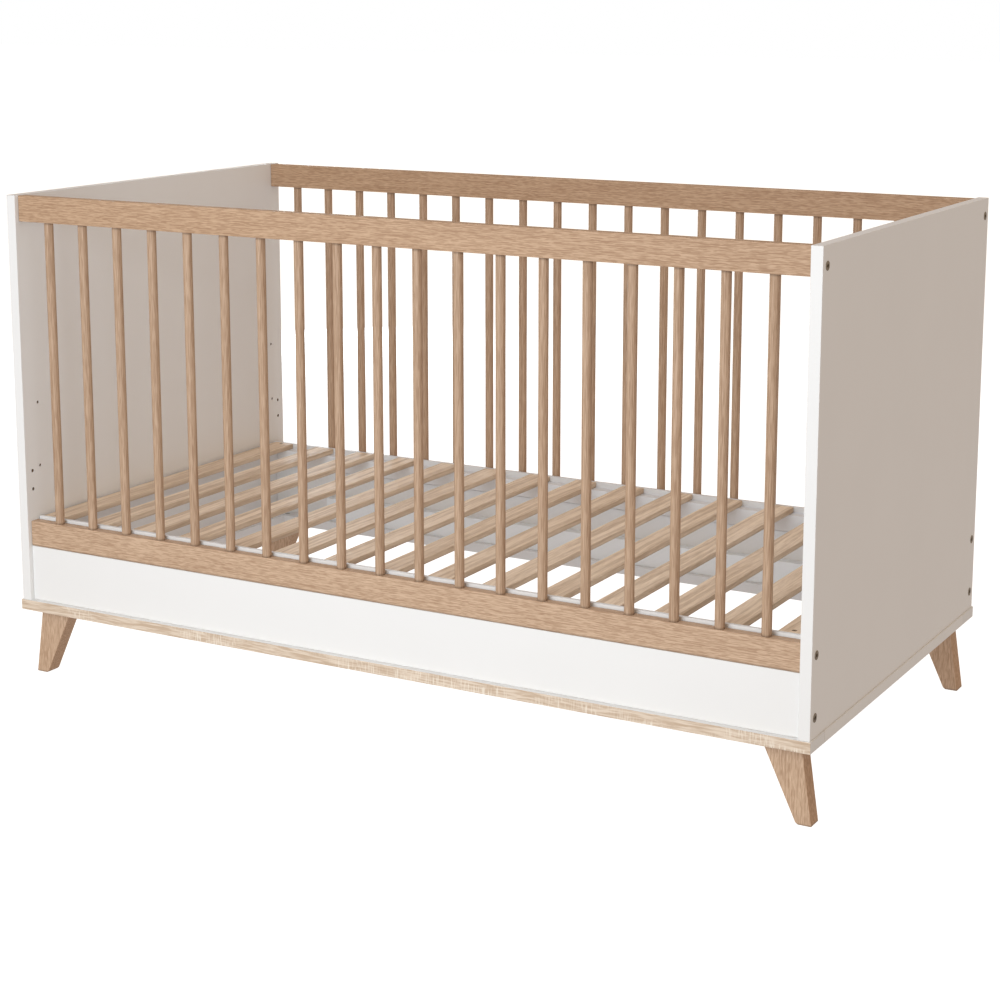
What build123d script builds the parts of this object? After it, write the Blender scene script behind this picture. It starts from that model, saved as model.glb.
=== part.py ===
from build123d import *
from collections import namedtuple
import os

os.makedirs("parts", exist_ok=True)

# Baby crib with solid end panels, barred sides, a plinth on splayed legs and a slatted base set at any of
# three levels.
# Millimetres. +X runs along the crib to the right as seen from the front, the front is -Y, and +Z is up.
# The origin is on the floor, under the centre of the crib.

# ---- Whole crib ----
crib_length = 1440.0  # over the end panels' outer faces
crib_depth = 756.0  # end panels, front edge to rear edge
panel_height = 697.0
board = 18.0  # thickness of every panel, rail, apron and plinth board
side_setback = 8.0  # rails and aprons stand back from the end panels' edges
leg_height = 118.0

# ---- Long sides ----
top_rail_height = 43.0
top_rail_drop = 1.0  # top rail below the end panels' top edge
bottom_rail_height = 43.5
apron_height = 95.0
bar_count = 19  # on each long side
bar_diameter = 15.0
bar_pitch = 71.65
bar_tenon = 12.0  # length of bar hidden in each rail

# ---- Plinth, battens and legs ----
plinth_width = 56.0
plinth_overhang = 2.0  # plinth stands proud of the end panels all round
batten_height = 45.0
batten_length = 1140.0
leg_thickness = 28.0  # front to rear
leg_inset = 25.0  # leg's outer face behind the end panels' edge
leg_top_inner = 637.0  # leg outline, distances from the crib's middle
leg_top_outer = 699.0
leg_foot_outer = 716.5
leg_foot_inner = 691.5
foot_chamfer_width = 4.0
foot_chamfer_height = 3.0

# ---- Slatted base, which takes a 1400 x 700 mattress ----
base_length = 1400.0
base_depth = 700.0
base_top = 143.5  # above the end panels' lower edge, at the lowest level
base_rail_height = 40.0
base_rail_width = 28.0
base_lip = 6.0  # thin upstand outside the slats' ends
base_end_rail_width = 22.0
slat_count = 15
slat_width = 42.0
slat_thickness = 10.0
slat_pitch = 96.5
slat_end_gap = 0.5  # between a slat's end and the lip

# ---- Edge rounding ----
panel_edge = 0.8
rail_edge = 1.2
slat_edge = 1.5
leg_edge = 1.2

# ---- Room round the fittings ----
fit_gap = 0.05  # radial room round every fastener and dowel
moving_gap = 0.3  # radial room between the base and its support pins
hole_end_gap = 0.5  # room past the tip of a fastener in a blind hole
cutter_margin = 1.0  # how far a cutter runs out past an open face

# ---- Countersunk screws and bolts ----
Fastener = namedtuple("Fastener", "length diameter head_diameter head_depth")
side_bolt_size = Fastener(60.0, 6.0, 13.5, 3.4)
plinth_screw = Fastener(50.0, 5.0, 10.0, 2.5)
batten_screw = Fastener(45.0, 5.0, 10.0, 2.5)
leg_screw = Fastener(60.0, 5.0, 10.0, 2.5)
corner_screw = Fastener(60.0, 5.0, 10.0, 2.5)
end_slat_screw = Fastener(16.0, 4.0, 8.0, 2.2)
under_slat_screw = Fastener(36.0, 3.5, 7.0, 1.8)
recess_diameter = 2.6  # driver recess in every screw's head
recess_depth = 1.4
bolt_head_rise = 0.5
bolt_hex = 5.0  # across the socket's flats
bolt_hex_depth = 3.2

# ---- Nuts, dowels and support pins ----
nut_diameter = 10.0
nut_length = 14.0
nut_from_rail_end = 32.0
dowel_diameter = 8.0
dowel_length = 30.0
dowel_in_panel = 12.0
dowel_in_long_board = 9.0  # plinth dowels, in the front and rear plinth boards
pin_shank_diameter = 5.0
pin_shank_length = 11.5
pin_body_diameter = 10.0
pin_body_length = 12.0
small_hole_depth = 12.0
conversion_hole_diameter = 6.0

# ---- Heights above the end panels' lower edge ----
top_bolt_height = 668.5
bottom_rail_bolt_height = 122.0
apron_bolt_height = 30.5
top_rail_dowel_height = 687.0
bottom_rail_dowel_height = 106.0
apron_dowel_height = 70.5
lowest_level = 121.0  # support pins
level_spacing = 110.0  # from one base level to the next
level_count = 3
conversion_hole_heights = (193.0, 225.0)

# ---- Places along the boards, measured from the crib's middle ----
pin_from_edge = 36.5  # support pins and their holes, from the end panels' edges
panel_screw_ys = (-250.0, 0.0, 250.0)
apron_screw_xs = (-560.0, -200.0, 200.0, 560.0)
batten_screw_xs = (-480.0, -160.0, 160.0, 480.0)
leg_screw_xs = (668.0, 688.0)
plinth_dowel_xs = (678.0, 710.0)
corner_screw_inset = 16.0  # from the base's end faces
corner_screw_rises = (5.5, 15.5)  # above the base's underside

# ---- Levels and planes worked out from them ----
half_length = crib_length / 2
half_depth = crib_depth / 2
inner_x = half_length - board  # end panels' inner faces
panel_x = half_length - board / 2  # end panels' middle planes
side_outer_y = half_depth - side_setback
side_inner_y = side_outer_y - board
side_y = side_outer_y - board / 2  # middle plane of each long side
batten_inner_y = side_inner_y - board
batten_y = side_inner_y - board / 2
plinth_top = leg_height + board
panel_top = plinth_top + panel_height
plinth_outer_x = half_length + plinth_overhang
plinth_outer_y = half_depth + plinth_overhang
plinth_inner_x = plinth_outer_x - plinth_width
plinth_inner_y = plinth_outer_y - plinth_width
leg_y = half_depth - leg_inset - leg_thickness / 2

apron_top = plinth_top + apron_height
bottom_rail_top = apron_top + bottom_rail_height
top_rail_top = panel_top - top_rail_drop
top_rail_bottom = top_rail_top - top_rail_height
bar_low = bottom_rail_top - bar_tenon
bar_high = top_rail_bottom + bar_tenon

base_x = base_length / 2
base_y = base_depth / 2
slat_top = plinth_top + base_top
slat_bottom = slat_top - slat_thickness
base_bottom = slat_top - base_rail_height
base_inner_x = base_x - base_end_rail_width
base_inner_y = base_y - base_rail_width
lip_inner_y = base_y - base_lip
slat_half_length = lip_inner_y - slat_end_gap
slat_screw_y = (lip_inner_y + base_inner_y) / 2  # middle of the ledge under the slats' ends
corner_screw_x = base_x - corner_screw_inset
pin_y = half_depth - pin_from_edge
pin_z = plinth_top + lowest_level

# ---- Repeated places ----
up = (0, 0, 1)
down = (0, 0, -1)
ends = {"left": -1, "right": 1}
sides = {"front": -1, "rear": 1}
corners = [(end, side) for end in ends.values() for side in sides.values()]
bar_xs = [bar_pitch * (number - (bar_count - 1) / 2) for number in range(bar_count)]
slat_xs = [slat_pitch * (number - (slat_count - 1) / 2) for number in range(slat_count)]
end_slat_xs = (slat_xs[0], slat_xs[-1])

# Boards of a long side that are bolted between the end panels, each with its bolt's and its dowel's height.
SideBoard = namedtuple("SideBoard", "low high bolt_z dowel_z")
side_boards = {
    "top_rail": SideBoard(
        top_rail_bottom, top_rail_top, plinth_top + top_bolt_height, plinth_top + top_rail_dowel_height
    ),
    "bottom_rail": SideBoard(
        apron_top,
        bottom_rail_top,
        plinth_top + bottom_rail_bolt_height,
        plinth_top + bottom_rail_dowel_height,
    ),
    "apron": SideBoard(
        plinth_top, apron_top, plinth_top + apron_bolt_height, plinth_top + apron_dowel_height
    ),
}


# ---- Basic shapes ----
def block(x_range, y_range, z_range, edge=0.0):
    """A board between three pairs of limits, with all its edges rounded by the given radius."""
    spans = [sorted(limits) for limits in (x_range, y_range, z_range)]
    size = [high - low for low, high in spans]
    middle = [(high + low) / 2 for low, high in spans]
    solid = Pos(*middle) * Box(*size)
    if edge:
        solid = fillet(solid.edges(), edge)
    return solid


def rod(start, direction, length, diameter):
    """A round rod, or the cutter for its hole, from a start point along a direction."""
    plane = Plane(origin=start, z_dir=direction)
    return extrude(plane * Circle(diameter / 2), length)


def countersunk(kind, start, direction, gap=0.0, end_gap=0.0):
    """A countersunk fastener from the middle of its flat head, or with gaps the cutter for its hole."""
    plane = Plane(origin=start, z_dir=direction)
    cone = Cone(kind.head_diameter / 2 + gap, kind.diameter / 2 + gap, kind.head_depth)
    head = plane * Pos(0, 0, kind.head_depth / 2) * cone
    return head + rod(start, direction, kind.length + end_gap, kind.diameter + 2 * gap)


def screw(kind, start, direction):
    return countersunk(kind, start, direction) - rod(start, direction, recess_depth, recess_diameter)


def fastener_hole(kind, start, direction):
    return countersunk(kind, start, direction, fit_gap, hole_end_gap)


def drilled(solid, kind, places, direction):
    """The solid with a countersunk hole at each place."""
    for place in places:
        solid -= fastener_hole(kind, place, direction)
    return solid


def save(shape, node):
    shape.label = node
    export_step(shape, f"parts/{node}.step")


def save_group(solids, node):
    save(Compound(children=list(solids)), node)


# ---- Where the screws go ----
def panel_screw_places(end):
    return [(end * panel_x, y, leg_height) for y in panel_screw_ys]


def apron_screw_places(side):
    return [(x, side * side_y, leg_height) for x in apron_screw_xs]


def batten_screw_places(side):
    return [(x, side * batten_y, leg_height) for x in batten_screw_xs]


def leg_screw_places(end, side):
    return [(end * x, side * leg_y, plinth_top) for x in leg_screw_xs]


def corner_screw_places(end, side):
    return [(end * corner_screw_x, side * base_y, base_bottom + rise) for rise in corner_screw_rises]


def end_slat_screw_place(slat_x, side):
    return (slat_x, side * slat_screw_y, slat_top)


def under_slat_screw_place(slat_x, side):
    return (slat_x, side * slat_screw_y, base_bottom)


# ---- Joints between the long sides and the end panels ----
def side_bolt(end, side, height):
    """A flat-headed bolt from an end panel's outer face into a board's end, with a hexagon socket."""
    inward = (-end, 0, 0)
    body = countersunk(side_bolt_size, (end * half_length, side * side_y, height), inward)
    face = Plane(origin=(end * (half_length + bolt_head_rise), side * side_y, height), z_dir=inward)
    body += extrude(face * Circle(side_bolt_size.head_diameter / 2), bolt_head_rise)
    socket = extrude(face * RegularPolygon(bolt_hex / 2, 6, major_radius=False), bolt_hex_depth)
    return body - socket


def side_bolt_hole(end, side, height):
    return fastener_hole(side_bolt_size, (end * half_length, side * side_y, height), (-end, 0, 0))


def nut_x(end):
    return end * (inner_x - nut_from_rail_end)


def barrel_nut(end, side, height):
    """A cross nut that stands upright in a board and takes the bolt through its middle."""
    start = (nut_x(end), side * side_y, height - nut_length / 2)
    return rod(start, up, nut_length, nut_diameter) - side_bolt_hole(end, side, height)


def nut_hole(end, side, underside, height):
    start = (nut_x(end), side * side_y, underside)
    reach = height + nut_length / 2 + fit_gap - underside
    return rod(start, up, reach, nut_diameter + 2 * fit_gap)


def side_dowel(end, side, height, gap=0.0, end_gap=0.0):
    start = (end * (inner_x + dowel_in_panel + end_gap), side * side_y, height)
    return rod(start, (-end, 0, 0), dowel_length + 2 * end_gap, dowel_diameter + 2 * gap)


# ---- Long sides ----
def bar(x, side, gap=0.0):
    start = (x, side * side_y, bar_low - gap)
    return rod(start, up, bar_high - bar_low + 2 * gap, bar_diameter + 2 * gap)


def build_side_board(side, shape):
    """One board of a long side, with the holes for its bolts, barrel nuts and dowels."""
    y_range = (side * side_inner_y, side * side_outer_y)
    solid = block((-inner_x, inner_x), y_range, (shape.low, shape.high), rail_edge)
    for end in ends.values():
        solid -= side_bolt_hole(end, side, shape.bolt_z)
        solid -= nut_hole(end, side, shape.low, shape.bolt_z)
        solid -= side_dowel(end, side, shape.dowel_z, fit_gap, hole_end_gap)
    return solid


def build_long_side(side_name, side):
    save_group([bar(x, side) for x in bar_xs], f"{side_name}_bars")
    for board_name, shape in side_boards.items():
        solid = build_side_board(side, shape)
        if board_name == "apron":
            solid = drilled(solid, plinth_screw, apron_screw_places(side), up)
        else:
            for x in bar_xs:
                solid -= bar(x, side, fit_gap)
        save(solid, f"{side_name}_{board_name}")


# ---- End panels ----
def support_pin(end, side):
    """A steel pin whose thick part carries the slatted base and whose thin part is in the end panel."""
    face = (end * inner_x, side * pin_y, pin_z)
    body = rod(face, (-end, 0, 0), pin_body_length, pin_body_diameter)
    return body + rod(face, (end, 0, 0), pin_shank_length, pin_shank_diameter)


def small_hole(end, y, height, diameter):
    return rod((end * inner_x, y, height), (end, 0, 0), small_hole_depth, diameter)


def build_end_panel(end_name, end):
    x_range = (end * inner_x, end * half_length)
    solid = block(x_range, (-half_depth, half_depth), (plinth_top, panel_top), panel_edge)
    for side in sides.values():
        for shape in side_boards.values():
            solid -= side_bolt_hole(end, side, shape.bolt_z)
            solid -= side_dowel(end, side, shape.dowel_z, fit_gap, hole_end_gap)
        for level in range(level_count):
            height = pin_z + level * level_spacing
            solid -= small_hole(end, side * pin_y, height, pin_shank_diameter + 2 * fit_gap)
        for height in conversion_hole_heights:
            solid -= small_hole(end, side * side_y, plinth_top + height, conversion_hole_diameter)
    solid = drilled(solid, plinth_screw, panel_screw_places(end), up)
    save(solid, f"{end_name}_end_panel")


# ---- Plinth, battens and legs ----
def plinth_dowel(end, side, x, gap=0.0, end_gap=0.0):
    """A dowel that joins an end board of the plinth to its front or rear board."""
    deepest_y = plinth_inner_y + dowel_in_long_board + end_gap
    start = (end * x, side * deepest_y, leg_height + board / 2)
    return rod(start, (0, -side, 0), dowel_length + 2 * end_gap, dowel_diameter + 2 * gap)


def build_plinth_long_board(side_name, side):
    y_range = (side * plinth_inner_y, side * plinth_outer_y)
    solid = block((-plinth_outer_x, plinth_outer_x), y_range, (leg_height, plinth_top), panel_edge)
    solid = drilled(solid, plinth_screw, apron_screw_places(side), up)
    solid = drilled(solid, batten_screw, batten_screw_places(side), up)
    for end in ends.values():
        solid = drilled(solid, leg_screw, leg_screw_places(end, side), down)
        for x in plinth_dowel_xs:
            solid -= plinth_dowel(end, side, x, fit_gap, hole_end_gap)
    save(solid, f"{side_name}_plinth_board")


def build_plinth_end_board(end_name, end):
    x_range = (end * plinth_inner_x, end * plinth_outer_x)
    solid = block(x_range, (-plinth_inner_y, plinth_inner_y), (leg_height, plinth_top), panel_edge)
    solid = drilled(solid, plinth_screw, panel_screw_places(end), up)
    for side in sides.values():
        for x in plinth_dowel_xs:
            solid -= plinth_dowel(end, side, x, fit_gap, hole_end_gap)
    save(solid, f"{end_name}_plinth_board")


def build_batten(side_name, side):
    """A stiffening strip that stands on the plinth against the apron's inner face."""
    x_range = (-batten_length / 2, batten_length / 2)
    y_range = (side * batten_inner_y, side * side_inner_y)
    solid = block(x_range, y_range, (plinth_top, plinth_top + batten_height), rail_edge)
    solid = drilled(solid, batten_screw, batten_screw_places(side), up)
    save(solid, f"{side_name}_batten")


def build_leg(node, end, side):
    """A flat board leg that tapers and splays outwards, with its inner foot corner cut off."""
    outline = [
        (leg_top_inner, leg_height),
        (leg_top_outer, leg_height),
        (leg_foot_outer, 0.0),
        (leg_foot_inner + foot_chamfer_width, 0.0),
        (leg_foot_inner, foot_chamfer_height),
    ]
    face = make_face(Polyline([(end * x, z) for x, z in outline], close=True))
    plane = Plane(origin=(0, leg_y * side - leg_thickness / 2, 0), x_dir=(1, 0, 0), z_dir=(0, -1, 0))
    solid = extrude(plane * face, -leg_thickness)
    solid = fillet(solid.edges(), leg_edge)
    solid = drilled(solid, leg_screw, leg_screw_places(end, side), down)
    save(solid, node)


# ---- Slatted base ----
def pin_slot(end, side):
    """A slot, open below, that lets the base down over a support pin."""
    radius = pin_body_diameter / 2 + moving_gap
    outer = end * (base_x + cutter_margin)
    inner = end * (inner_x - pin_body_length - hole_end_gap)
    top = rod((outer, side * pin_y, pin_z), (-end, 0, 0), abs(outer - inner), 2 * radius)
    y_range = (side * pin_y - radius, side * pin_y + radius)
    return top + block((outer, inner), y_range, (base_bottom - cutter_margin, pin_z))


def build_base_long_rail(side_name, side):
    """A rail with a rebate: the slats' ends lie on the ledge, inside a thin lip."""
    y_range = (side * base_inner_y, side * base_y)
    solid = block((-base_x, base_x), y_range, (base_bottom, slat_top), panel_edge)
    rebate_x = (-base_x - cutter_margin, base_x + cutter_margin)
    rebate_y = (side * (base_inner_y - cutter_margin), side * lip_inner_y)
    solid -= block(rebate_x, rebate_y, (slat_bottom, slat_top + cutter_margin))
    for end in ends.values():
        solid -= pin_slot(end, side)
        solid = drilled(solid, corner_screw, corner_screw_places(end, side), (0, -side, 0))
    for x in slat_xs:
        if x in end_slat_xs:
            solid = drilled(solid, end_slat_screw, [end_slat_screw_place(x, side)], down)
        else:
            solid = drilled(solid, under_slat_screw, [under_slat_screw_place(x, side)], up)
    save(solid, f"base_{side_name}_rail")


def build_base_end_rail(end_name, end):
    x_range = (end * base_inner_x, end * base_x)
    solid = block(x_range, (-base_inner_y, base_inner_y), (base_bottom, slat_bottom), panel_edge)
    for side in sides.values():
        solid = drilled(solid, corner_screw, corner_screw_places(end, side), (0, -side, 0))
    save(solid, f"base_{end_name}_rail")


def build_slats():
    for number, x in enumerate(slat_xs, start=1):
        x_range = (x - slat_width / 2, x + slat_width / 2)
        solid = block(x_range, (-slat_half_length, slat_half_length), (slat_bottom, slat_top), slat_edge)
        for side in sides.values():
            if x in end_slat_xs:
                solid = drilled(solid, end_slat_screw, [end_slat_screw_place(x, side)], down)
            else:
                solid = drilled(solid, under_slat_screw, [under_slat_screw_place(x, side)], up)
        save(solid, f"slat_{number:02d}")


# ---- Fasteners, each kind as one group of separate solids ----
def build_side_fasteners():
    places = [(end, side, shape) for end, side in corners for shape in side_boards.values()]
    save_group([side_bolt(end, side, shape.bolt_z) for end, side, shape in places], "side_bolts")
    save_group([barrel_nut(end, side, shape.bolt_z) for end, side, shape in places], "barrel_nuts")
    save_group([side_dowel(end, side, shape.dowel_z) for end, side, shape in places], "side_dowels")


def build_plinth_fasteners():
    dowels = [plinth_dowel(end, side, x) for end, side in corners for x in plinth_dowel_xs]
    save_group(dowels, "plinth_dowels")
    plinth_places = []
    for end in ends.values():
        plinth_places += panel_screw_places(end)
    for side in sides.values():
        plinth_places += apron_screw_places(side)
    save_group([screw(plinth_screw, place, up) for place in plinth_places], "plinth_screws")
    batten_places = [place for side in sides.values() for place in batten_screw_places(side)]
    save_group([screw(batten_screw, place, up) for place in batten_places], "batten_screws")
    leg_places = [place for end, side in corners for place in leg_screw_places(end, side)]
    save_group([screw(leg_screw, place, down) for place in leg_places], "leg_screws")


def build_base_fasteners():
    save_group([support_pin(end, side) for end, side in corners], "base_support_pins")
    corner_screws = []
    for end, side in corners:
        for place in corner_screw_places(end, side):
            corner_screws.append(screw(corner_screw, place, (0, -side, 0)))
    save_group(corner_screws, "base_corner_screws")
    end_slat_screws = []
    under_slat_screws = []
    for side in sides.values():
        for x in slat_xs:
            if x in end_slat_xs:
                end_slat_screws.append(screw(end_slat_screw, end_slat_screw_place(x, side), down))
            else:
                under_slat_screws.append(screw(under_slat_screw, under_slat_screw_place(x, side), up))
    save_group(end_slat_screws, "end_slat_screws")
    save_group(under_slat_screws, "slat_screws")


for end_name, end in ends.items():
    build_end_panel(end_name, end)
    build_plinth_end_board(end_name, end)
    build_base_end_rail(end_name, end)
    for side_name, side in sides.items():
        build_leg(f"{side_name}_{end_name}_leg", end, side)
for side_name, side in sides.items():
    build_long_side(side_name, side)
    build_plinth_long_board(side_name, side)
    build_batten(side_name, side)
    build_base_long_rail(side_name, side)
build_slats()
build_side_fasteners()
build_plinth_fasteners()
build_base_fasteners()
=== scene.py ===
import math

import bpy
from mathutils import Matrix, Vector


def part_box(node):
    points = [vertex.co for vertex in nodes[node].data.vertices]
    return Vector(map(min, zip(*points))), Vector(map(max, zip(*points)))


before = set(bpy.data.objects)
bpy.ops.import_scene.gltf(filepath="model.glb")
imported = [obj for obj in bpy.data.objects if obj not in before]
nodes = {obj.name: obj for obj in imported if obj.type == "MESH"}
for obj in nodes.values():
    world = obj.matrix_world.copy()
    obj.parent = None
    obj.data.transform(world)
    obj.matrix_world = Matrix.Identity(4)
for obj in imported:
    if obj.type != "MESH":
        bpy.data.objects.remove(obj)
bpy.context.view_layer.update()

# The row frame in metres: +X along the crib to the right, the front is -Y, +Z up, the floor at z = 0.
X, Y, Z = range(3)
SLAT_PITCH = 0.0965
BAR_PITCH = 0.07165
FAR = 1.0  # past the ends of every piece, for a contact at one end alone

# ---- Camera ----
CAMERA_PLACE = (1.721, -3.041, 1.174)
CAMERA_HEADING = math.radians(29.35)  # to the left of straight back
CAMERA_PITCH = math.radians(10.54)  # below level
CAMERA_LENS = 76.13
CAMERA_SHIFT = -0.12

# ---- Light: name, place, point it faces, size in metres, power in watts, colour ----
SOFTBOXES = (
    ("front_softbox", (0.0, -2.6, 0.9), (0.0, 0.0, 0.45), 1.6, 41.4, (0.79, 0.895, 0.985)),
    ("top_softbox", (0.0, -0.3, 3.6), (0.0, 0.0, 0.3), 3.4, 25.0, (0.2, 0.5, 1.0)),
    ("rear_softbox", (-2.6, 2.8, 0.55), (0.0, 0.0, 0.45), 1.0, 42.0, (0.76, 0.9, 1.0)),
)
AMBIENT_ABOVE = (0.61, 0.48, 0.34)
AMBIENT_BELOW = (0.55, 0.52, 0.53)
AMBIENT_TURN = 0.2  # how steep a direction is, up or down, where one ambient light is all there is
BACKDROP = (1.0, 1.0, 1.0)
FLOOR_HALF = 30.0
FLOOR_LIGHT = (0.50, 0.50, 0.50)
FLOOR_DARK = (0.48, 0.48, 0.48)
FLOOR_GLOW = 0.9

# ---- Colours ----
OAK_LIGHT = (0.615, 0.412, 0.271)
OAK_DARK = (0.392, 0.234, 0.14)
TOP_RAIL_TINT = (0.96, 0.965, 0.94)
BOTTOM_RAIL_TINT = (1.05, 1.11, 1.15)
BAR_TINT = (0.93, 0.97, 1.0)
LEG_TINT = (1.08, 1.15, 1.2)
LEG_SIDE_TINT = (0.93, 0.86, 0.77)
SLAT_LIGHT = (0.95, 0.785, 0.605)
SLAT_DARK = (0.6, 0.45, 0.316)
SLAT_WARM = (0.66, 0.48, 0.32)  # some slats lean towards this
DOWEL_LIGHT = (0.66, 0.49, 0.32)
DOWEL_DARK = (0.52, 0.36, 0.22)
WHITE = (0.86, 0.855, 0.84)
BATTEN_WHITE = (0.92, 0.95, 0.96)
PLINTH_WHITE = (0.82, 0.82, 0.81)
RAIL_WHITE = (0.78, 0.775, 0.765)
CHIPS_LIGHT = (0.40, 0.29, 0.19)
CHIPS_DARK = (0.22, 0.15, 0.09)
SAWN_LIGHT = (0.77, 0.645, 0.515)
SAWN_DARK = (0.56, 0.42, 0.297)
SAW_MARK = (0.9, 0.82, 0.7)
BRASS = (0.30, 0.235, 0.15)
BRASS_WORN = (0.17, 0.13, 0.085)
BRONZE = (0.34, 0.26, 0.18)
BRONZE_WORN = (0.22, 0.16, 0.11)
ZINC = (0.5, 0.49, 0.47)
ZINC_WORN = (0.36, 0.355, 0.345)

# ---- Patterns: the noise that becomes 0 and 1, with little contrast and with more ----
SOFT = (0.3, 0.7)
CRISP = (0.42, 0.58)

# ---- Patterns: cycles per metre along the grain and across it ----
OAK_WAVES = (9.0, 26.0)
OAK_DASHES = (70.0, 850.0)
OAK_STREAKS = (12.0, 800.0)
OAK_BANDS = (2.4, 40.0)
SLAT_WAVES = (3.0, 12.0)
SLAT_RINGS = (2.2, 110.0)
SLAT_FIBRES = (32.0, 420.0)
SAWN_WAVES = (7.0, 30.0)
SAWN_GRAIN = (22.0, 380.0)
SAW_MARKS = (520.0, 45.0)
SAW_MARK_PATCHES = (9.0, 20.0)
EDGE_CLOUD = (30.0, 90.0)
BRUSHING = (300.0, 2200.0)

# ---- Patterns: cycles per metre in every direction ----
WEAR_PATCHES = 55.0
LAMINATE_CLOUD = 7.0
LAMINATE_PEARL = 900.0
BOARD_CHIPS = 600.0
PLATE_WEAR = 260.0
FLOOR_GRAIN = 40.0

# ---- How strong the shades are, and how far they reach in metres ----
SHADE_PAINTED_AT_CONTACTS = 0.62  # how far wood goes towards its painted shade tone where it meets another piece
PAINTED_SHADE_TONE = 0.35  # the painted shade's tone, as a share of the wood's dark colour
RUBBED_TONE = 1.15  # the tone of a rubbed arris, as a share of the wood's light colour
OAK_WEAR = 0.0016  # how far wear reaches from an arris
SLAT_WEAR = 0.0012
LAMINATE_WEAR = 0.0009
SLAT_SIDE_PAINTED_SHADE = 0.18  # painted shade on a slat's sides
SLAT_LOW_EDGE_PAINTED_SHADE = 0.45  # painted shade on the same sides at their lower edge
SLAT_LOW_EDGE_SHADE_REACH = 0.004  # how high that deeper painted shade reaches
SKIN = (0.0002, 0.0006)  # where a board's laminate gives way to its chips
LUCK_REACH = 3.0  # how far along the pattern a piece of a row may take its grain from


# ---- Writing materials ----
class Shader:
    """One material's node tree, with a short call for each kind of node used here."""

    def __init__(self, name):
        self.material = bpy.data.materials.new(name)
        self.material.use_nodes = True
        self.tree = self.material.node_tree
        self.surface = self.tree.nodes["Principled BSDF"]
        self.place = self.add("ShaderNodeTexCoord").outputs["Object"]

    def add(self, kind, **settings):
        node = self.tree.nodes.new(kind)
        for name, value in settings.items():
            setattr(node, name, value)
        return node

    def feed(self, socket, value):
        """Links another node's output to the socket, or sets the socket's own value."""
        if isinstance(value, bpy.types.NodeSocket):
            self.tree.links.new(value, socket)
        else:
            socket.default_value = value

    def math(self, operation, first, second=0.0):
        node = self.add("ShaderNodeMath", operation=operation)
        self.feed(node.inputs[0], first)
        self.feed(node.inputs[1], second)
        return node.outputs[0]

    def weigh(self, first, share, second, rest):
        """The two values added up, each times its share."""
        return self.math("ADD", self.math("MULTIPLY", first, share), self.math("MULTIPLY", second, rest))

    def vector(self, operation, first, second=(0.0, 0.0, 0.0)):
        node = self.add("ShaderNodeVectorMath", operation=operation)
        self.feed(node.inputs[0], first)
        self.feed(node.inputs[1], second)
        return node.outputs[0]

    def scaled(self, vector, factor):
        node = self.add("ShaderNodeVectorMath", operation="SCALE")
        self.feed(node.inputs[0], vector)
        self.feed(node.inputs["Scale"], factor)
        return node.outputs[0]

    def split(self, vector):
        node = self.add("ShaderNodeSeparateXYZ")
        self.feed(node.inputs[0], vector)
        return node.outputs

    def join(self, x, y, z):
        node = self.add("ShaderNodeCombineXYZ")
        for socket, value in zip(node.inputs, (x, y, z)):
            self.feed(socket, value)
        return node.outputs[0]

    def noise(self, vector, detail=2.0, roughness=0.5):
        node = self.add("ShaderNodeTexNoise")
        self.feed(node.inputs["Vector"], vector)
        node.inputs["Scale"].default_value = 1.0
        node.inputs["Detail"].default_value = detail
        node.inputs["Roughness"].default_value = roughness
        return node.outputs

    def speckle(self, scale, detail):
        """Noise that is the same in every direction."""
        return self.noise(self.scaled(self.place, scale), detail)["Fac"]

    def grain(self, place, axis, scales, detail, roughness=0.5):
        """Noise drawn out along one axis: scales are the cycles per metre along it and across it."""
        return self.noise(self.vector("MULTIPLY", place, stretch(axis, scales)), detail, roughness)["Fac"]

    def wavy(self, place, axis, scales, reach):
        """The place moved about by soft waves, so that straight grain wanders a little."""
        waves = self.noise(self.vector("MULTIPLY", place, stretch(axis, scales)))["Color"]
        waves = self.scaled(self.vector("SUBTRACT", waves, (0.5, 0.5, 0.5)), reach)
        return self.vector("ADD", place, waves)

    def chance(self, vector):
        """A random number and a random colour for each whole-numbered place."""
        node = self.add("ShaderNodeTexWhiteNoise", noise_dimensions="3D")
        self.feed(node.inputs["Vector"], vector)
        return node.outputs

    def spread(self, value, low, high, out_low=0.0, out_high=1.0):
        """Maps low to high onto out_low to out_high, and holds it outside them."""
        node = self.add("ShaderNodeMapRange", interpolation_type="SMOOTHSTEP")
        self.feed(node.inputs["Value"], value)
        node.inputs["From Min"].default_value = low
        node.inputs["From Max"].default_value = high
        node.inputs["To Min"].default_value = out_low
        node.inputs["To Max"].default_value = out_high
        return node.outputs["Result"]

    def blend(self, share, first, second, way="MIX"):
        node = self.add("ShaderNodeMix", data_type="RGBA", blend_type=way)
        self.feed(node.inputs["Factor"], share)
        for socket, colour in ((node.inputs[6], first), (node.inputs[7], second)):
            if isinstance(colour, tuple):
                colour = (*colour, 1.0)
            self.feed(socket, colour)
        return node.outputs[2]

    def normal(self):
        return self.split(self.add("ShaderNodeNewGeometry").outputs["Normal"])

    def facing(self, part):
        """1 on the faces that look along one direction, 0 on the others, from the normal's part along it."""
        return self.spread(part, 0.5, 0.8)

    def bump(self, height, distance, strength):
        node = self.add("ShaderNodeBump")
        node.inputs["Distance"].default_value = distance
        node.inputs["Strength"].default_value = strength
        self.feed(node.inputs["Height"], height)
        self.feed(self.surface.inputs["Normal"], node.outputs["Normal"])

    def finish(self, colour, roughness, specular=0.5):
        self.feed(self.surface.inputs["Base Color"], colour)
        self.feed(self.surface.inputs["Roughness"], roughness)
        self.surface.inputs["Specular IOR Level"].default_value = specular
        return self.material


def stretch(axis, scales):
    """Scales for a pattern that runs along one axis, from its scales along that axis and across it."""
    along, across = scales
    return tuple(along if number == axis else across for number in range(3))


def toned(colour, factor):
    return tuple(part * factor for part in colour)


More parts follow.
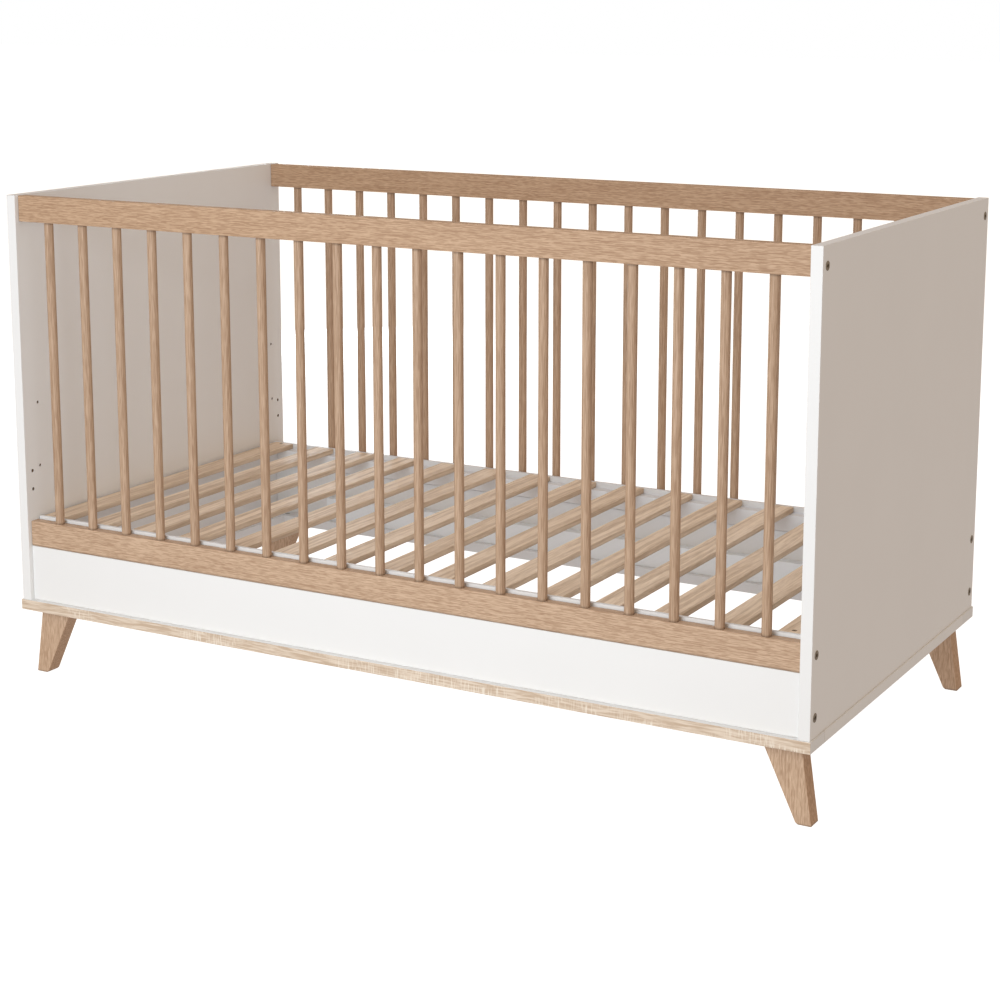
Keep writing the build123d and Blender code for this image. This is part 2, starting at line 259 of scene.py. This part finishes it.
def tinted(colour, tint):
    return tuple(part * factor for part, factor in zip(colour, tint))


def row_number(shader, pitch):
    """The number of the piece that a point is on, along a row of pieces set out in X by pitch."""
    return shader.math("ROUND", shader.math("DIVIDE", shader.split(shader.place)[X], pitch))


def box_depths(shader, place, box):
    """How deep a point lies in a box: its distances to the nearest face and to the nearest arris."""
    low, high = (Vector(corner) for corner in box)
    offset = shader.vector("ABSOLUTE", shader.vector("SUBTRACT", place, (low + high) / 2))
    first, second, third = shader.split(shader.vector("SUBTRACT", (high - low) / 2, offset))
    nearer = shader.math("MINIMUM", first, second)
    farther = shader.math("MAXIMUM", first, second)
    return (
        shader.math("MINIMUM", nearer, third),
        shader.math("MAXIMUM", nearer, shader.math("MINIMUM", farther, third)),
    )


def mirrored_depths(shader, box):
    """The depths in a box and in its mirror images to the left and to the front."""
    return box_depths(shader, shader.vector("ABSOLUTE", shader.place), box)


def rubbed(shader, arris_depth, reach):
    """The share of wear near an arris, in patches."""
    patches = shader.speckle(WEAR_PATCHES, 3.0)
    near = shader.spread(arris_depth, 0.0, reach, 1.0, 0.0)
    return shader.math("MULTIPLY", near, shader.spread(patches, 0.36, 0.6))


def add_painted_contact_shade(shader, colour, shade, contacts):
    """Darkens a colour with painted shade close to where the piece meets others, where a contact shadow
    falls.

    contacts holds an axis, the low and high end along it, and the shade's reach, for each pair of ends.
    """
    for axis, low, high, reach in contacts:
        along = shader.split(shader.place)[axis]
        near_low = shader.spread(along, low, low + reach, SHADE_PAINTED_AT_CONTACTS, 0.0)
        near_high = shader.spread(along, high - reach, high, 0.0, SHADE_PAINTED_AT_CONTACTS)
        colour = shader.blend(shader.math("ADD", near_low, near_high), colour, shade)
    return colour


def oak(name, axis, tint, contacts, pitch=None, worn_box=None, side_tint=None, length=1.0):
    """Straight-grained oak: fine dashes over longer streaks and growth bands along one axis.

    pitch gives each piece of a row its own stretch of grain. worn_box is the board whose arrises are rubbed
    lighter. side_tint multiplies the colour of the faces that look along X.
    length draws the dashes and streaks out.
    """
    shader = Shader(name)
    light = tinted(OAK_LIGHT, tint)
    dark = tinted(OAK_DARK, tint)
    place = shader.place
    if pitch:
        row = shader.math("SIGN", shader.split(shader.place)[Y])
        luck = shader.chance(shader.join(row_number(shader, pitch), row, 0.0))
        place = shader.vector("ADD", place, shader.scaled(luck["Color"], LUCK_REACH))
    place = shader.wavy(place, axis, OAK_WAVES, 0.002)
    dashes, streaks = (
        shader.spread(shader.grain(place, axis, (along / length, across), 1.0), *CRISP)
        for along, across in (OAK_DASHES, OAK_STREAKS)
    )
    bands = shader.spread(shader.grain(place, axis, OAK_BANDS, 2.0), *SOFT)
    grain = shader.weigh(dashes, 0.6, streaks, 0.4)
    tone = shader.weigh(grain, 0.92, bands, 0.08)
    colour = shader.blend(tone, light, dark)
    if side_tint:
        side = shader.facing(shader.math("ABSOLUTE", shader.normal()[X]))
        colour = shader.blend(side, colour, side_tint, "MULTIPLY")
    roughness = shader.spread(tone, 0.2, 0.8, 0.5, 0.62)
    if worn_box:
        wear = rubbed(shader, mirrored_depths(shader, worn_box)[1], OAK_WEAR)
        colour = shader.blend(shader.math("MULTIPLY", wear, 0.35), colour, toned(light, RUBBED_TONE))
        roughness = shader.math("SUBTRACT", roughness, shader.math("MULTIPLY", wear, 0.12))
    # painted shade where the piece meets another
    colour = add_painted_contact_shade(shader, colour, toned(dark, PAINTED_SHADE_TONE), contacts)
    shader.bump(grain, 0.00025, 0.6)
    return shader.finish(colour, roughness, 0.35)


def softwood(name, light, dark, worn_box=None):
    """Planed slat wood with long grain along Y, a tone of its own for each slat, and painted shade on the
    sides.

    worn_box is the slat at the middle of the row, for the wear and the painted side shade. The dowels have
    none, and so no painted side shade and no wear.
    """
    shader = Shader(name)
    number = row_number(shader, SLAT_PITCH)
    luck = shader.chance(shader.join(number, 0.0, 0.0))
    place = shader.vector("ADD", shader.place, shader.scaled(luck["Color"], LUCK_REACH))
    place = shader.wavy(place, Y, SLAT_WAVES, 0.02)
    rings = shader.spread(shader.grain(place, Y, SLAT_RINGS, 2.0), 0.38, 0.64)
    fibres = shader.spread(shader.grain(place, Y, SLAT_FIBRES, 2.0), *SOFT)
    tone = shader.weigh(rings, 0.65, fibres, 0.35)
    colour = shader.blend(tone, light, dark)
    colour = shader.blend(shader.spread(luck["Value"], 0.0, 1.0, 0.0, 0.3), colour, SLAT_WARM)
    roughness = shader.spread(fibres, *SOFT, 0.55, 0.7)
    if worn_box:
        # painted shade on the slat's sides, deeper at their lower edge
        side = shader.facing(shader.math("ABSOLUTE", shader.normal()[X]))
        height = shader.split(shader.place)[Z]
        bottom = worn_box[0][Z]
        shade = shader.spread(height, bottom, bottom + SLAT_LOW_EDGE_SHADE_REACH, SLAT_LOW_EDGE_PAINTED_SHADE, SLAT_SIDE_PAINTED_SHADE)
        colour = shader.blend(shader.math("MULTIPLY", side, shade), colour, toned(dark, 0.45))
        offset = shader.join(shader.math("MULTIPLY", number, SLAT_PITCH), 0.0, 0.0)
        depths = box_depths(shader, shader.vector("SUBTRACT", shader.place, offset), worn_box)
        wear = rubbed(shader, depths[1], SLAT_WEAR)
        colour = shader.blend(shader.math("MULTIPLY", wear, 0.3), colour, toned(light, RUBBED_TONE))
        roughness = shader.math("SUBTRACT", roughness, shader.math("MULTIPLY", wear, 0.1))
    shader.bump(shader.math("ADD", fibres, shader.math("MULTIPLY", rings, 0.5)), 0.0002, 0.5)
    return shader.finish(colour, roughness, 0.3)


def laminate(name, colour, board_box, drilled):
    """Matt laminate: a fine pearl, a hardly visible cloudiness, a greyed joint along each arris.

    Where it is drilled, the board is brown chips below its skin.
    """
    shader = Shader(name)
    cloud = shader.speckle(LAMINATE_CLOUD, 3.0)
    pearl = shader.speckle(LAMINATE_PEARL, 2.0)
    face_depth, arris_depth = mirrored_depths(shader, board_box)
    face = shader.blend(cloud, colour, toned(colour, 0.965))
    wear = rubbed(shader, arris_depth, LAMINATE_WEAR)
    face = shader.blend(shader.math("MULTIPLY", wear, 0.35), face, toned(colour, 0.6))
    if drilled:
        core = shader.blend(shader.speckle(BOARD_CHIPS, 2.0), CHIPS_LIGHT, CHIPS_DARK)
        face = shader.blend(shader.spread(face_depth, *SKIN), face, core)
    roughness = shader.spread(pearl, *SOFT, 0.42, 0.52)
    roughness = shader.math("SUBTRACT", roughness, shader.math("MULTIPLY", wear, 0.1))
    shader.bump(pearl, 0.00012, 0.35)
    return shader.finish(face, roughness, 0.4)


def sawn_edge(name, colour, board_box):
    """White laminate with a strip of pale sawn oak on the faces that look out to the front and rear."""
    shader = Shader(name)
    pearl = shader.speckle(LAMINATE_PEARL, 2.0)
    board = shader.blend(shader.grain(shader.place, X, EDGE_CLOUD, 3.0), colour, toned(colour, 0.95))
    place = shader.wavy(shader.place, X, SAWN_WAVES, 0.01)
    grain = shader.spread(shader.grain(place, X, SAWN_GRAIN, 3.0, 0.6), 0.36, 0.64)
    saw = shader.spread(shader.grain(shader.place, X, SAW_MARKS, 1.0), 0.5, 0.66)
    patch = shader.spread(shader.grain(shader.place, X, SAW_MARK_PATCHES, 1.0), 0.46, 0.58)
    marks = shader.math("MULTIPLY", saw, patch)
    strip = shader.blend(grain, SAWN_LIGHT, SAWN_DARK)
    strip = shader.blend(shader.math("MULTIPLY", marks, 0.7), strip, SAW_MARK)
    side = shader.math("SIGN", shader.split(shader.place)[Y])
    facing = shader.facing(shader.math("MULTIPLY", shader.normal()[Y], side))
    face_depth, arris_depth = mirrored_depths(shader, board_box)
    wear = rubbed(shader, arris_depth, LAMINATE_WEAR)
    joint = shader.blend(facing, toned(colour, 0.7), toned(SAWN_DARK, 0.7))
    face = shader.blend(shader.math("MULTIPLY", wear, 0.3), shader.blend(facing, board, strip), joint)
    face = shader.blend(shader.spread(face_depth, *SKIN), face, CHIPS_DARK)
    shader.bump(shader.blend(facing, pearl, grain), 0.00015, 0.4)
    return shader.finish(face, shader.spread(pearl, *SOFT, 0.45, 0.55), 0.4)


def plated_steel(name, colour, worn, roughness):
    """Plated steel with a fine brushed roughness and a slightly worn tone in patches."""
    shader = Shader(name)
    brushed = shader.grain(shader.place, X, BRUSHING, 2.0)
    wear = shader.speckle(PLATE_WEAR, 3.0)
    shader.surface.inputs["Metallic"].default_value = 1.0
    shader.bump(brushed, 0.00005, 0.4)
    tone = shader.blend(shader.spread(wear, 0.45, 0.7), colour, worn)
    return shader.finish(tone, shader.spread(brushed, *SOFT, roughness, roughness + 0.12))


def paint(names, material):
    for name in names:
        node = nodes[name]
        node.data.materials.clear()
        node.data.materials.append(material)


# ---- The oak pieces ----
sides = ("front", "rear")
ends = ("left", "right")
low_rail_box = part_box("rear_bottom_rail")
top_rail_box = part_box("rear_top_rail")
rail_end = top_rail_box[1][X]
# where the oak takes painted shade at its contacts: an axis, the low and high end along it, and the reach
rail_ends = (X, -rail_end, rail_end, 0.0016)
low_rail_underside = (Z, low_rail_box[0][Z], FAR, 0.0042)
for rail, box, tint, contacts in (
    ("top", top_rail_box, TOP_RAIL_TINT, (rail_ends,)),
    ("bottom", low_rail_box, BOTTOM_RAIL_TINT, (rail_ends, low_rail_underside)),
):
    paint([f"{side}_{rail}_rail" for side in sides], oak(f"{rail}_rail_oak", X, tint, contacts, worn_box=box))
bar_ends = ((Z, low_rail_box[1][Z], top_rail_box[0][Z], 0.005),)
paint([f"{side}_bars" for side in sides], oak("bar_oak", Z, BAR_TINT, bar_ends, BAR_PITCH, length=2.2))
leg_ends = ((Z, 0.0, FAR, 0.004), (Z, -FAR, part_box("front_left_leg")[1][Z], 0.009))
leg_oak = oak("leg_oak", Z, LEG_TINT, leg_ends, side_tint=LEG_SIDE_TINT)
paint([f"{side}_{end}_leg" for side in sides for end in ends], leg_oak)

# ---- The slats and dowels ----
slat_wood = softwood("slat_wood", SLAT_LIGHT, SLAT_DARK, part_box("slat_08"))
paint([name for name in nodes if name.startswith("slat_") and name != "slat_screws"], slat_wood)
paint(["side_dowels", "plinth_dowels"], softwood("dowel_wood", DOWEL_LIGHT, DOWEL_DARK))

# ---- The white boards ----
for board, names, white, drilled in (
    ("right_end_panel", [f"{end}_end_panel" for end in ends], WHITE, True),
    ("rear_apron", [f"{side}_apron" for side in sides], WHITE, True),
    ("rear_batten", [f"{side}_batten" for side in sides], BATTEN_WHITE, True),
    ("base_rear_rail", [f"base_{side}_rail" for side in sides], RAIL_WHITE, False),
    ("base_right_rail", [f"base_{end}_rail" for end in ends], RAIL_WHITE, False),
):
    paint(names, laminate(f"{board}_laminate", white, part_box(board), drilled))
for board, names, white in (("rear", sides, PLINTH_WHITE), ("right", ends, WHITE)):
    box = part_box(f"{board}_plinth_board")
    paint([f"{name}_plinth_board" for name in names], sawn_edge(f"{board}_plinth_laminate", white, box))

# ---- The fasteners ----
paint(["side_bolts"], plated_steel("brass_plate", BRASS, BRASS_WORN, 0.36))
paint(["end_slat_screws"], plated_steel("bronze_screw", BRONZE, BRONZE_WORN, 0.4))
hidden_screws = ["plinth_screws", "batten_screws", "leg_screws", "base_corner_screws", "slat_screws"]
paint(["barrel_nuts", "base_support_pins"] + hidden_screws, plated_steel("zinc_steel", ZINC, ZINC_WORN, 0.42))


# ---- Stage, light and camera ----
def make_floor():
    """A plain pale floor. It glows a little, as a lit studio sweep does, and takes only faint shadows."""
    corners = [(x * FLOOR_HALF, y * FLOOR_HALF, 0) for x, y in ((-1, -1), (1, -1), (1, 1), (-1, 1))]
    mesh = bpy.data.meshes.new("floor")
    mesh.from_pydata(corners, [], [(0, 1, 2, 3)])
    floor = bpy.data.objects.new("floor", mesh)
    bpy.context.scene.collection.objects.link(floor)
    shader = Shader("pale_floor")
    colour = shader.blend(shader.speckle(FLOOR_GRAIN, 3.0), FLOOR_LIGHT, FLOOR_DARK)
    shader.surface.inputs["Emission Color"].default_value = (1.0, 1.0, 1.0, 1.0)
    shader.surface.inputs["Emission Strength"].default_value = FLOOR_GLOW
    mesh.materials.append(shader.finish(colour, 0.9, 0.0))
    floor.visible_diffuse = False
    floor.visible_glossy = False
    floor.visible_shadow = False


def make_softbox(name, place, target, size, power, colour):
    lamp = bpy.data.lights.new(name, "AREA")
    lamp.size = size
    lamp.energy = power
    lamp.color = colour
    box = bpy.data.objects.new(name, lamp)
    bpy.context.scene.collection.objects.link(box)
    box.location = place
    box.rotation_euler = (Vector(target) - Vector(place)).to_track_quat("-Z", "Y").to_euler()
    box.visible_camera = False


def make_world():
    """A white backdrop for the camera, and a dim warm ambient light for everything else."""
    world = bpy.data.worlds.new("studio")
    world.use_nodes = True
    tree = world.node_tree
    tree.nodes.clear()
    direction = tree.nodes.new("ShaderNodeTexCoord")
    height = tree.nodes.new("ShaderNodeSeparateXYZ")
    share = tree.nodes.new("ShaderNodeMapRange")
    share.inputs["From Min"].default_value = -AMBIENT_TURN
    share.inputs["From Max"].default_value = AMBIENT_TURN
    tint = tree.nodes.new("ShaderNodeMix")
    tint.data_type = "RGBA"
    tint.inputs[6].default_value = (*AMBIENT_BELOW, 1.0)
    tint.inputs[7].default_value = (*AMBIENT_ABOVE, 1.0)
    tree.links.new(direction.outputs["Generated"], height.inputs[0])
    tree.links.new(height.outputs["Z"], share.inputs["Value"])
    tree.links.new(share.outputs["Result"], tint.inputs["Factor"])
    ambient = tree.nodes.new("ShaderNodeBackground")
    tree.links.new(tint.outputs[2], ambient.inputs["Color"])
    backdrop = tree.nodes.new("ShaderNodeBackground")
    backdrop.inputs["Color"].default_value = (*BACKDROP, 1.0)
    mix = tree.nodes.new("ShaderNodeMixShader")
    output = tree.nodes.new("ShaderNodeOutputWorld")
    path = tree.nodes.new("ShaderNodeLightPath")
    tree.links.new(path.outputs["Is Camera Ray"], mix.inputs[0])
    tree.links.new(ambient.outputs[0], mix.inputs[1])
    tree.links.new(backdrop.outputs[0], mix.inputs[2])
    tree.links.new(mix.outputs[0], output.inputs[0])
    bpy.context.scene.world = world


def make_camera():
    data = bpy.data.cameras.new("camera")
    data.lens = CAMERA_LENS
    data.shift_y = CAMERA_SHIFT
    camera = bpy.data.objects.new("camera", data)
    bpy.context.scene.collection.objects.link(camera)
    camera.location = CAMERA_PLACE
    camera.rotation_euler = (math.pi / 2 - CAMERA_PITCH, 0.0, CAMERA_HEADING)
    bpy.context.scene.camera = camera


make_floor()
for softbox in SOFTBOXES:
    make_softbox(*softbox)
make_world()
make_camera()
bpy.context.scene.view_settings.view_transform = "Standard"
